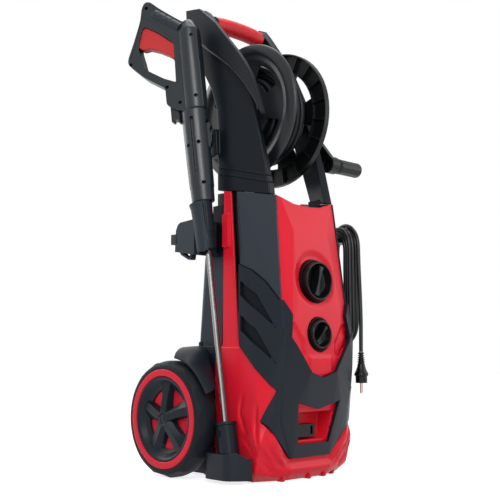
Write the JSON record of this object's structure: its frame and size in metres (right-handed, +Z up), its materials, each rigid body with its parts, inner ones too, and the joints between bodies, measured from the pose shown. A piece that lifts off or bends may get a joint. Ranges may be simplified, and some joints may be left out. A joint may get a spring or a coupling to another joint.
{
  "type": "pressure washer",
  "caption": "Upright electric pressure washer on wheels with a hose reel between its handle arms, a side-stored gun and lance, a wound mains lead and two front dials.",
  "frame": {"origin": "on the floor below the middle of the body, at the underside of the base pan's centre pad", "axes": "+Z up, the front with the dials faces -Y, the gun is on the -X side and the crank on the +X side"},
  "size_m": [0.4013, 0.3303, 0.898],
  "materials": {
    "red_plastic": "satin moulded",
    "anthracite_plastic": "fine moulded texture",
    "black_plastic": "fine moulded texture",
    "tyre_black": "smooth with a scalloped shoulder",
    "hose_rubber": "smooth jacket",
    "stainless": "drawn tube",
    "zinc_steel": "zinc plated",
    "brass": "turned",
    "pump_metal": "die cast",
    "motor_metal": "varnished",
    "tank_plastic": "translucent moulded"
  },
  "bodies": {
    "washer": {"front_shield": "anthracite_plastic", "front_panel": "red_plastic", "lower_cover": "red_plastic", "left_column": "anthracite_plastic", "right_column": "anthracite_plastic", "base_pan": "black_plastic", "left_frame": "black_plastic", "right_frame": "black_plastic", "top_deck": "black_plastic", "rear_housing": "anthracite_plastic", "left_arm": "anthracite_plastic", "right_arm": "anthracite_plastic", "left_wing": "anthracite_plastic", "handle_bar": "zinc_steel", "handle_grip": "red_plastic", "reel_axle": "zinc_steel", "wheel_axle": "zinc_steel", "left_wheel_guard": "black_plastic", "right_wheel_guard": "black_plastic", "knob_bezels": "black_plastic", "power_switch": "black_plastic", "dosing_valve": "pump_metal", "front_socket": "black_plastic", "motor_stator": "motor_metal", "pump_head": "pump_metal", "water_inlet": "brass", "pump_hose": "hose_rubber", "detergent_tank": "tank_plastic", "motor_capacitor": "black_plastic", "lance_holder": "anthracite_plastic", "lance_cup": "anthracite_plastic", "cord_hank": "hose_rubber", "upper_hook": "black_plastic", "lower_hook": "black_plastic", "cord_gland": "black_plastic", "cord_lead": "hose_rubber", "cord_tail": "hose_rubber", "mains_plug": "hose_rubber"},
    "left_wheel": {"left_tyre": "tyre_black", "left_wheel_disc": "red_plastic", "left_wheel_trim": "anthracite_plastic"},
    "right_wheel": {"right_tyre": "tyre_black", "right_wheel_disc": "red_plastic", "right_wheel_trim": "anthracite_plastic"},
    "reel": {"reel_flange": "black_plastic", "hose_coil": "hose_rubber", "reel_ring": "black_plastic", "crank_arm": "black_plastic"},
    "crank_grip": {"crank_knob": "black_plastic"},
    "rotor": {"motor_rotor": "zinc_steel", "cooling_fan": "black_plastic", "swash_plate": "zinc_steel"},
    "power_dial": {"power_knob": "black_plastic"},
    "dosing_dial": {"dosing_knob": "black_plastic"},
    "lance": {"gun_body": "anthracite_plastic", "lance_handle": "anthracite_plastic", "lance_rod": "stainless"},
    "trigger_lever": {"trigger": "red_plastic"},
    "latch": {"lance_latch": "black_plastic"},
    "nozzle": {"lance_nozzle": "anthracite_plastic"}
  },
  "joints": [
    {"name": "left_wheel_spin", "type": "hinge", "parent": "washer", "child": "left_wheel", "pos_m": [-0.158, 0.072, 0.1036], "axis": [1, 0, 0], "continuous": true},
    {"name": "right_wheel_spin", "type": "hinge", "parent": "washer", "child": "right_wheel", "pos_m": [0.158, 0.072, 0.1036], "axis": [1, 0, 0], "continuous": true},
    {"name": "reel_spin", "type": "hinge", "parent": "washer", "child": "reel", "pos_m": [0, 0.002, 0.676], "axis": [1, 0, 0], "continuous": true},
    {"name": "crank_grip_spin", "type": "hinge", "parent": "reel", "child": "crank_grip", "pos_m": [0.158, -0.077, 0.586], "axis": [1, 0, 0], "continuous": true},
    {"name": "rotor_spin", "type": "hinge", "parent": "washer", "child": "rotor", "pos_m": [0, -0.036, 0.28], "axis": [0, 0, 1], "continuous": true},
    {"name": "power_turn", "type": "hinge", "parent": "washer", "child": "power_dial", "pos_m": [0, -0.135, 0.348], "axis": [0, -1, 0], "range_deg": [0, 90]},
    {"name": "dosing_turn", "type": "hinge", "parent": "washer", "child": "dosing_dial", "pos_m": [0, -0.143, 0.253], "axis": [0, -1, 0], "range_deg": [0, 270]},
    {"name": "lance_lift", "type": "slide", "parent": "washer", "child": "lance", "axis": [0, 0, 1], "range_m": [0, 0.06]},
    {"name": "trigger_pull", "type": "hinge", "parent": "lance", "child": "trigger_lever", "pos_m": [-0.148, 0.08103, 0.79524], "axis": [0.866, 0.4938, -0.0782], "range_deg": [0, 6], "stiffness_Nm_per_rad": 0.6, "springref_deg": -5.73},
    {"name": "latch_press", "type": "slide", "parent": "lance", "child": "latch", "axis": [-0.5, 0.8554, -0.1355], "range_m": [0, 0.003], "stiffness_N_per_m": 400, "springref_m": -0.002},
    {"name": "nozzle_turn", "type": "hinge", "parent": "lance", "child": "nozzle", "pos_m": [-0.137, -0.062, 0.014], "axis": [0, 0.1564, 0.9877], "range_deg": [-90, 90]}
  ]
}
